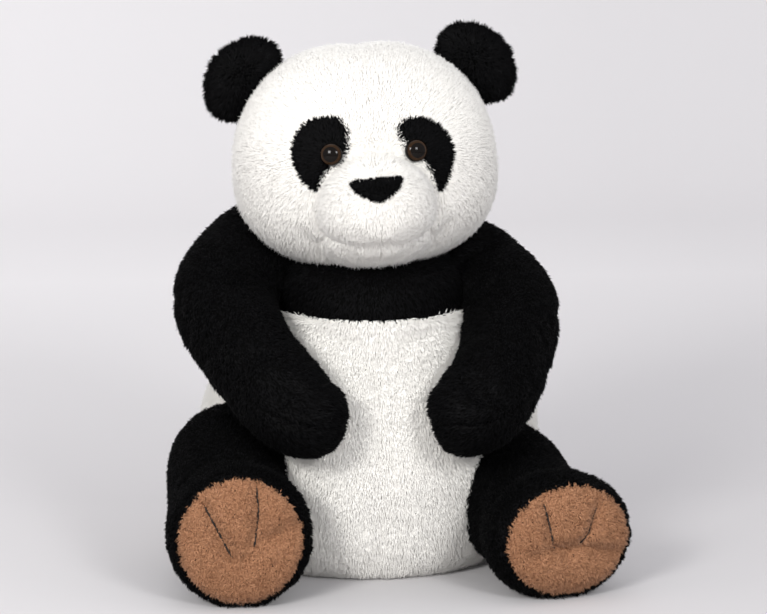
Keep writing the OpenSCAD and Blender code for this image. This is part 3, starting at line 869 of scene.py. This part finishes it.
eye_frames = {side: eye_frame(side) for side in (RIGHT, LEFT)}


def off_eye_axis(p, side):
    """How far each point is from the axis through an eye."""
    seat, axes = eye_frames[side]
    q = (p - seat) @ axes
    return np.hypot(q[:, 0], q[:, 1])


def head_comb(p):
    """Back over the skull from the middle of the face, and down over the cheeks and muzzle."""
    q = untilted(p)
    away = unit(q - np.array([0, -150, 335.0]))
    low = smooth(q[:, 2], 380, 300)[:, None]
    return (away * (1 - 0.55 * low) + DOWN * 0.75 * low) @ TILT.T


def face_mask(p, margin):
    """Whether each point of the head is clear of the nose, the eye patches and the eyes."""
    q = untilted(p)
    hidden = in_outline(q, shrunk(NOSE_OUTLINE, margin))
    for side in (RIGHT, LEFT):
        hidden |= in_outline(q, shrunk(PATCHES[side], margin))
        hidden |= (off_eye_axis(p, side) < EYE_CLEAR) & (q[:, 1] < FACE_FRONT)
    return ~hidden


head_half = head.columns // 2
for side in (LEFT, RIGHT):
    on_side = [((column + head_quarter) % head.columns // head_half) == (0 if side == LEFT else 1)
               for column in (head.quad_column, np.arange(head.columns))]
    for part, low, high, fans, per_mm2, length in (
            ("head_back", 0, crown_row, [head.first_fan[on_side[1]]], 0.6, 6.5),
            ("face", crown_row, muzzle_row, [], 1.0, 6.5),
            ("muzzle", muzzle_row, head.rows, [head.last_fan[on_side[1]]], 1.0, 5.0)):
        chosen = on_side[0] & (head.quad_row >= low) & (head.quad_row < high)
        name = f"{part}_{SIDE[side]}"
        outer = fabric_panel(name, head, chosen, "head", WHITE, fans)
        p, n = scatter(outer, per_mm2, rng, lambda p, n: face_mask(p, 1.0))
        pile(name, p, n, head_comb(p), "head", WHITE, rng, length=length, width=1.15, lean=1.6, jitter=0.22,
             clump=0.12, soft=0.1)

for side in (RIGHT, LEFT):
    name = f"eye_patch_{SIDE[side]}"
    outer = face_pad(name, PATCHES[side], 1.0, BLACK)
    p, n = scatter(outer, 1.3, rng, lambda p, n: off_eye_axis(p, side) > EYE_CLEAR)
    seat, _ = eye_frames[side]
    comb = unit(p - seat) * 0.5 + np.array([0, 0, 0.2])
    pile(name, p, n, comb, "head", BLACK, rng, length=4.6, width=1.1, lean=0.65, jitter=0.25, clump_size=4)
outer = face_pad("nose", NOSE_OUTLINE, 2.6, BLACK)
p, n = scatter(outer, 2.2, rng)
upper = smooth(untilted(p)[:, 2], 328, 334)[:, None]
comb = UP * upper * 1.2 + DOWN * (1 - upper) * 0.5
pile("nose", p, n, comb, "head", BLACK, rng, length=4.0, width=0.9, lean=0.7, clump_size=3)

# ---------- eyes ----------
EYE_RADIUS, EYE_EDGE, DOME_RISE = 9.2, 5.0, 5.8
RING_INNER, RING_OUTER = EYE_RADIUS * 0.66, EYE_RADIUS * 0.9
SHANK_RADIUS, SHANK_END = 2.4, -12
WASHER = [(2.6, -11.0), (9.0, -11.0), (9.0, -9.4), (2.6, -9.4)]
ROUND = 64


def eye_material(name, roughness, scale, detail, *stops):
    m, tree, b = node_material(name, roughness, specular=0.15)
    ramp_node(tree, b, noise_node(tree, scale, detail).outputs["Fac"], *stops)
    return m


EYE_MATERIALS = [eye_material("eye_pupil", 0.04, 300, 2, 0, (0.002, 0.0015, 0.001), 1, (0.006, 0.004, 0.003)),
                 eye_material("eye_iris", 0.06, 900, 5, 0.35, (0.008, 0.004, 0.0015), 0.7, (0.045, 0.021, 0.008))]


def turned_on_axis(profile, closed=False):
    """The verts of a profile of (radius, height) turned about Z, and the faces between its rings."""
    ring = np.arange(ROUND) * TAU / ROUND
    verts = [(r * math.cos(a), r * math.sin(a), z) for r, z in profile for a in ring]
    m, n = ROUND, len(profile)
    faces = [[r * m + k, r * m + (k + 1) % m, (r + 1) % n * m + (k + 1) % m, (r + 1) % n * m + k]
             for r in range(n if closed else n - 1) for k in range(m)]
    return verts, faces


for side in (RIGHT, LEFT):
    seat, axes = eye_frames[side]
    name = f"eye_{SIDE[side]}"
    profile = [(SHANK_RADIUS, SHANK_END), (SHANK_RADIUS, 3.0), (EYE_RADIUS * 0.97, 3.2), (EYE_RADIUS, 4.0),
               (EYE_RADIUS, EYE_EDGE)]
    profile += [(EYE_RADIUS * math.cos(math.radians(a)), EYE_EDGE + DOME_RISE * math.sin(math.radians(a)))
                for a in np.arange(6, 90, 4.2)]
    verts, faces = turned_on_axis(profile)
    verts = np.array([(0, 0, SHANK_END - 0.5)] + verts + [(0, 0, EYE_EDGE + DOME_RISE)]) @ axes.T + seat
    top = 1 + (len(profile) - 1) * ROUND
    faces = ([[0, 1 + (k + 1) % ROUND, 1 + k] for k in range(ROUND)] + [[1 + v for v in f] for f in faces]
             + [[top + k, top + (k + 1) % ROUND, len(verts) - 1] for k in range(ROUND)])
    o = object_of(name + "_dome", verts, faces, EYE_MATERIALS)
    for f in o.data.polygons:
        x, y, z = (np.array(f.center) / MM - seat) @ axes
        f.material_index = 1 if RING_INNER < math.hypot(x, y) < RING_OUTER and z > EYE_EDGE else 0
    settle(o, "head", "eye_plastic", name)
    name = f"eye_washer_{SIDE[side]}"
    verts, faces = turned_on_axis(WASHER, closed=True)
    o = object_of(name + "_ring", np.array(verts) @ axes.T + seat, faces, [STUFFING], smooth_shading=False)
    settle(o, "head", "washer_plastic", name)

# ---------- ear pieces ----------
def half_of(shell, first):
    """The quads and the end fans of half a shell, from a column on."""
    end = first + shell.columns // 2
    chosen = (shell.quad_column >= first) & (shell.quad_column < end)
    return chosen, [shell.first_fan[first:end], shell.last_fan[first:end]]


for side in (RIGHT, LEFT):
    s, ear = SIDE[side], ears[side]
    where = ("head", f"ear_{s}", ear.hinge - ear.axis * 4, ear.hinge + ear.axis * 12)
    filling(f"ear_{s}_fill", ear, where, f"ear_stuffing_{s}")
    for part, first in (("back", 0), ("front", ear.columns // 2)):
        chosen, fans = half_of(ear, first)
        outer = fabric_panel(f"ear_{part}_{s}", ear, chosen, where, BLACK, fans)
        p, n = scatter(outer, 1.1, rng, lambda p, n: ~inside_head(p, 5))
        middle = ear.hinge + ear.axis * 14
        comb = unit(p - middle) + DOWN * 0.15
        pile(f"ear_{part}_{s}", p, n, comb, where, BLACK, rng, length=7.5, width=1.2, lean=0.9, jitter=0.4, clump=0.5,
             clump_size=6)

# ---------- arm pieces ----------
for side in (RIGHT, LEFT):
    s, arm = SIDE[side], arms[side]
    filling(f"arm_{s}_fill", arm, arm.where, f"arm_stuffing_{s}")
    spine = np.array(ARM_STATIONS[side], float)[:, :3] * [side, 1, 1]
    for part, first in (("outer", 0), ("inner", arm.columns // 2)):
        chosen, fans = half_of(arm, first)
        outer = fabric_panel(f"arm_{part}_{s}", arm, chosen, arm.where, BLACK, fans)
        p, n = scatter(outer, 0.5, rng, lambda p, n: ~inside_torso(p, 12) & ~inside_head(p, 8))
        nearest = np.argmin(np.linalg.norm(p[:, None] - spine[None, 1:-1], axis=2), axis=1) + 1
        comb = unit(spine[nearest + 1] - spine[nearest - 1])
        pile(f"arm_{part}_{s}", p, n, comb, arm.where, BLACK, rng, length=5.5, width=1.25, lean=1.1)

# ---------- leg pieces ----------
# Creases of the soles, as (across, up) from the middle of the sole, with each one's depth and half width.
CREASES = {
    RIGHT: [([(-28, 30), (-17, 9), (-6, -12)], 6.5, 4.6), ([(13, 45), (14.5, 24), (11, -3)], 7.0, 4.6),
            ([(11, -3), (24, 4), (44, 12)], 5.5, 7.0), ([(11, -3), (4, -14)], 4.5, 6.5)],
    LEFT: [([(-23, 32), (-19, 13), (-16.5, -3), (-13, -5)], 6.5, 4.6), ([(23, 26), (15, 6), (6, -4)], 6.5, 4.6),
           ([(-15, -4), (-3, -7.5), (7, -4)], 10.0, 6.0), ([(7, -4), (22, -9), (42, -14)], 7.5, 7.0),
           ([(-15, -4), (-32, -9)], 4.0, 6.0)]}
# The first two creases of each sole are drawn in by its toe stitches.
STITCHED = 2


def from_line(x, z, line):
    """Distance of each (x, z) from a line of points."""
    best = np.full(len(x), 1e9)
    for (x0, z0), (x1, z1) in zip(line, line[1:]):
        dx, dz = x1 - x0, z1 - z0
        t = np.clip(((x - x0) * dx + (z - z0) * dz) / (dx * dx + dz * dz), 0, 1)
        best = np.minimum(best, np.hypot(x - x0 - t * dx, z - z0 - t * dz))
    return best


def sole_dent(side, x, z):
    """How far the sole is drawn in at (x, z), and how far its pads stand out."""
    dent = np.zeros(len(x))
    for line, depth, wide in CREASES[side]:
        dent = np.maximum(dent, depth * np.exp(-(from_line(x, z, line) / wide) ** 2))
    f = FOOT[side]
    puff = 4.5 * np.maximum(0, 1 - (x / (f["across"] - 6)) ** 2 - (z / (f["high"] - 6)) ** 2)
    return dent - puff


def dented(side, p):
    """Points of a leg with its sole drawn in at the creases. The leg's frame is across, along and up from the hip."""
    leg, f = legs[side], FOOT[side]
    q = (p - leg.hinge) @ leg.turned
    q[:, 1] += sole_dent(side, q[:, 0] - f["aside"], q[:, 2] - f["drop"]) * smooth(q[:, 1], -106, -114)
    return q @ leg.turned.T + leg.hinge


for side in (RIGHT, LEFT):
    s, leg = SIDE[side], legs[side]
    leg.verts, leg.core = (dented(side, p) for p in (leg.verts, leg.core))
    filling(f"leg_{s}_fill", leg, leg.where, f"leg_stuffing_{s}")
    band, sole = leg.marks[1:3]
    half, full = leg.columns // 2, leg.columns
    for part, rows, columns, plush, fans in (
            ("leg_outer", (0, band), (0, half), BLACK, [leg.first_fan[:half]]),
            ("leg_inner", (0, band), (half, full), BLACK, [leg.first_fan[half:]]),
            ("foot_band", (band, sole), (0, full), BLACK, []),
            ("sole_pad", (sole, leg.rows), (0, full), TAN, [leg.last_fan])):
        chosen = ((leg.quad_row >= rows[0]) & (leg.quad_row < rows[1])
                  & (leg.quad_column >= columns[0]) & (leg.quad_column < columns[1]))
        name = f"{part}_{s}"
        outer = fabric_panel(name, leg, chosen, leg.where, plush, fans)
        p, n = scatter(outer, 1.3 if plush is TAN else 0.5, rng,
                       lambda p, n: ~inside_torso(p, 12) & ~on_floor(p, n))
        if plush is TAN:
            comb = rng.normal(0, 0.6, (len(p), 3)) + DOWN * 0.2
            look = dict(length=4.6, width=1.3, jitter=0.6, clump=0.55, clump_size=4, soft=0.5)
        else:
            comb = leg.ahead + DOWN * 0.2
            look = dict(length=5.5, width=1.25)
        pile(name, p, n, comb, leg.where, plush, rng, lean=1.0, **look)

# ---------- toe stitches ----------
THREAD_RADIUS, THREAD_END_RADIUS, THREAD_LIFT = 0.75, 0.3, 2.2
THREAD_SIDES, THREAD_STEPS = 8, 26
for side in (RIGHT, LEFT):
    leg, f = legs[side], FOOT[side]
    tree = BVHTree.FromPolygons([tuple(v) for v in leg.verts], leg.faces())
    verts, faces = [], []
    for line, _, _ in CREASES[side][:STITCHED]:
        line = np.array(line, float)
        t = np.linspace(0, len(line) - 1, THREAD_STEPS)
        path = np.stack([np.interp(t, range(len(line)), line[:, k]) for k in (0, 1)], 1)
        centre = []
        for x, z in path:
            start = leg.turned @ np.array([x + f["aside"], -160, z + f["drop"]]) + leg.hinge
            centre.append(np.array(tree.ray_cast(Vector(start), Vector(-leg.ahead))[0]))
        centre = np.array(centre) + leg.ahead * THREAD_LIFT
        way = unit(np.gradient(centre, axis=0))
        a = unit(np.cross(way, leg.ahead))
        b = np.cross(a, way)
        m, first, last = THREAD_SIDES, len(verts), THREAD_STEPS - 1
        for k in range(THREAD_STEPS):
            r = THREAD_RADIUS if 0 < k < last else THREAD_END_RADIUS
            verts += [centre[k] + r * (a[k] * math.cos(g) + b[k] * math.sin(g)) for g in np.arange(m) * TAU / m]
        for k in range(last):
            low, high = first + k * m, first + (k + 1) * m
            faces += [[low + g, low + (g + 1) % m, high + (g + 1) % m, high + g] for g in range(m)]
        faces += [[first + g for g in range(m)][::-1], [first + last * m + g for g in range(m)]]
    name = f"toe_stitches_{SIDE[side]}"
    settle(object_of(name + "_thread", verts, faces, [THREAD]), leg.where, "black_thread", name)

# ---------- stage, light and camera ----------
# These are in metres. The wall stands far enough back for a camera behind the panda.
STAGE_HALF_WIDTH, FLOOR_FRONT, FLOOR_BACK, CURVE, WALL_TOP = 6, -6, 2.3, 1, 7
# The painted shade on the paper grows from SHADE_LEFT to SHADE_RIGHT and from SHADE_FAR to SHADE_NEAR; the second
# paper colour is the paper in full painted shade.
SHADE_NEAR, SHADE_FAR, SHADE_LEFT, SHADE_RIGHT = 0.2, 1.6, -0.45, 0.75
PAPER_LIGHT, PAPER_PAINTED_SHADE = (0.965, 0.947, 0.945), (0.578, 0.565, 0.572)


def spread(tree, source, low, high, most=1.0):
    """A node that runs from 0 at low to most at high."""
    node = tree.nodes.new("ShaderNodeMapRange")
    node.inputs["From Min"].default_value, node.inputs["From Max"].default_value = low, high
    node.inputs["To Max"].default_value = most
    tree.links.new(source, node.inputs["Value"])
    return node.outputs["Result"]


# A floor that curves up into a backdrop, with painted shade: darker near the panda and to its left.
bend = [math.radians(a) for a in range(10, 90, 10)]
profile = [(FLOOR_FRONT, 0), (FLOOR_BACK, 0)]
profile += [(FLOOR_BACK + CURVE * math.sin(a), CURVE - CURVE * math.cos(a)) for a in bend]
profile += [(FLOOR_BACK + CURVE, CURVE), (FLOOR_BACK + CURVE, WALL_TOP)]
verts = [(x, y, z) for y, z in profile for x in (-STAGE_HALF_WIDTH, STAGE_HALF_WIDTH)]
faces = [[2 * k, 2 * k + 1, 2 * k + 3, 2 * k + 2] for k in range(len(profile) - 1)]
paper, tree, b = node_material("paper", roughness=0.9, specular=0.2)
where, apart, total, part = (
    tree.nodes.new("ShaderNode" + kind) for kind in ("TexCoord", "SeparateXYZ", "Math", "Math"))
tree.links.new(where.outputs["Object"], apart.inputs["Vector"])
total.operation, part.operation = "ADD", "MULTIPLY"
part.inputs[1].default_value = 0.25
tree.links.new(spread(tree, apart.outputs["X"], SHADE_LEFT, SHADE_RIGHT), total.inputs[0])
tree.links.new(spread(tree, apart.outputs["Y"], SHADE_FAR, SHADE_NEAR, 3.0), total.inputs[1])
tree.links.new(total.outputs["Value"], part.inputs[0])
ramp_node(tree, b, part.outputs["Value"], 0, PAPER_LIGHT, 1, PAPER_PAINTED_SHADE)
object_of("backdrop", np.array(verts) / MM, faces, [paper])

LIT = (0, 0, 0.2)
WARM, PLAIN = (1, 0.99, 0.97), (1, 1, 1)


def area_light(name, place, size, power, colour):
    data = bpy.data.lights.new(name, "AREA")
    data.shape, data.size, data.energy, data.color = "SQUARE", size, power, colour
    o = bpy.data.objects.new(name, data)
    o.location = place
    o.rotation_euler = (Vector(LIT) - Vector(place)).to_track_quat("-Z", "Y").to_euler()
    scene.collection.objects.link(o)


# The two catch lights are small, for the highlights in the eyes.
area_light("key", (-1.2, -2.0, 1.2), 0.7, 31, WARM)
area_light("fill", (0.85, -2.2, 1.2), 0.6, 20.5, PLAIN)
area_light("key_catch", (-1.19, -1.98, 1.19), 0.17, 4.2, WARM)
area_light("fill_catch", (0.84, -2.18, 1.19), 0.1, 1.7, PLAIN)
area_light("top", (-0.2, 0.2, 2.0), 1.3, 3, PLAIN)
world = bpy.data.worlds.new("studio")
world.use_nodes = True
background = world.node_tree.nodes["Background"]
background.inputs["Color"].default_value = (0.93, 0.93, 0.97, 1)
background.inputs["Strength"].default_value = 0.77
scene.world = world
scene.view_settings.view_transform = "Standard"

azimuth, elevation, distance = math.radians(-5.5), math.radians(9), 2.1
target = Vector((0.0129, -0.0012, 0.210))
back = Vector((math.sin(azimuth) * math.cos(elevation), -math.cos(azimuth) * math.cos(elevation),
               math.sin(elevation)))
camera = bpy.data.objects.new("camera", bpy.data.cameras.new("camera"))
camera.data.sensor_width, camera.data.lens = 36, 115.3
camera.location = target + back * distance
camera.rotation_euler = (-back).to_track_quat("-Z", "Y").to_euler()
scene.collection.objects.link(camera)
scene.camera = camera

bpy.context.view_layer.update()
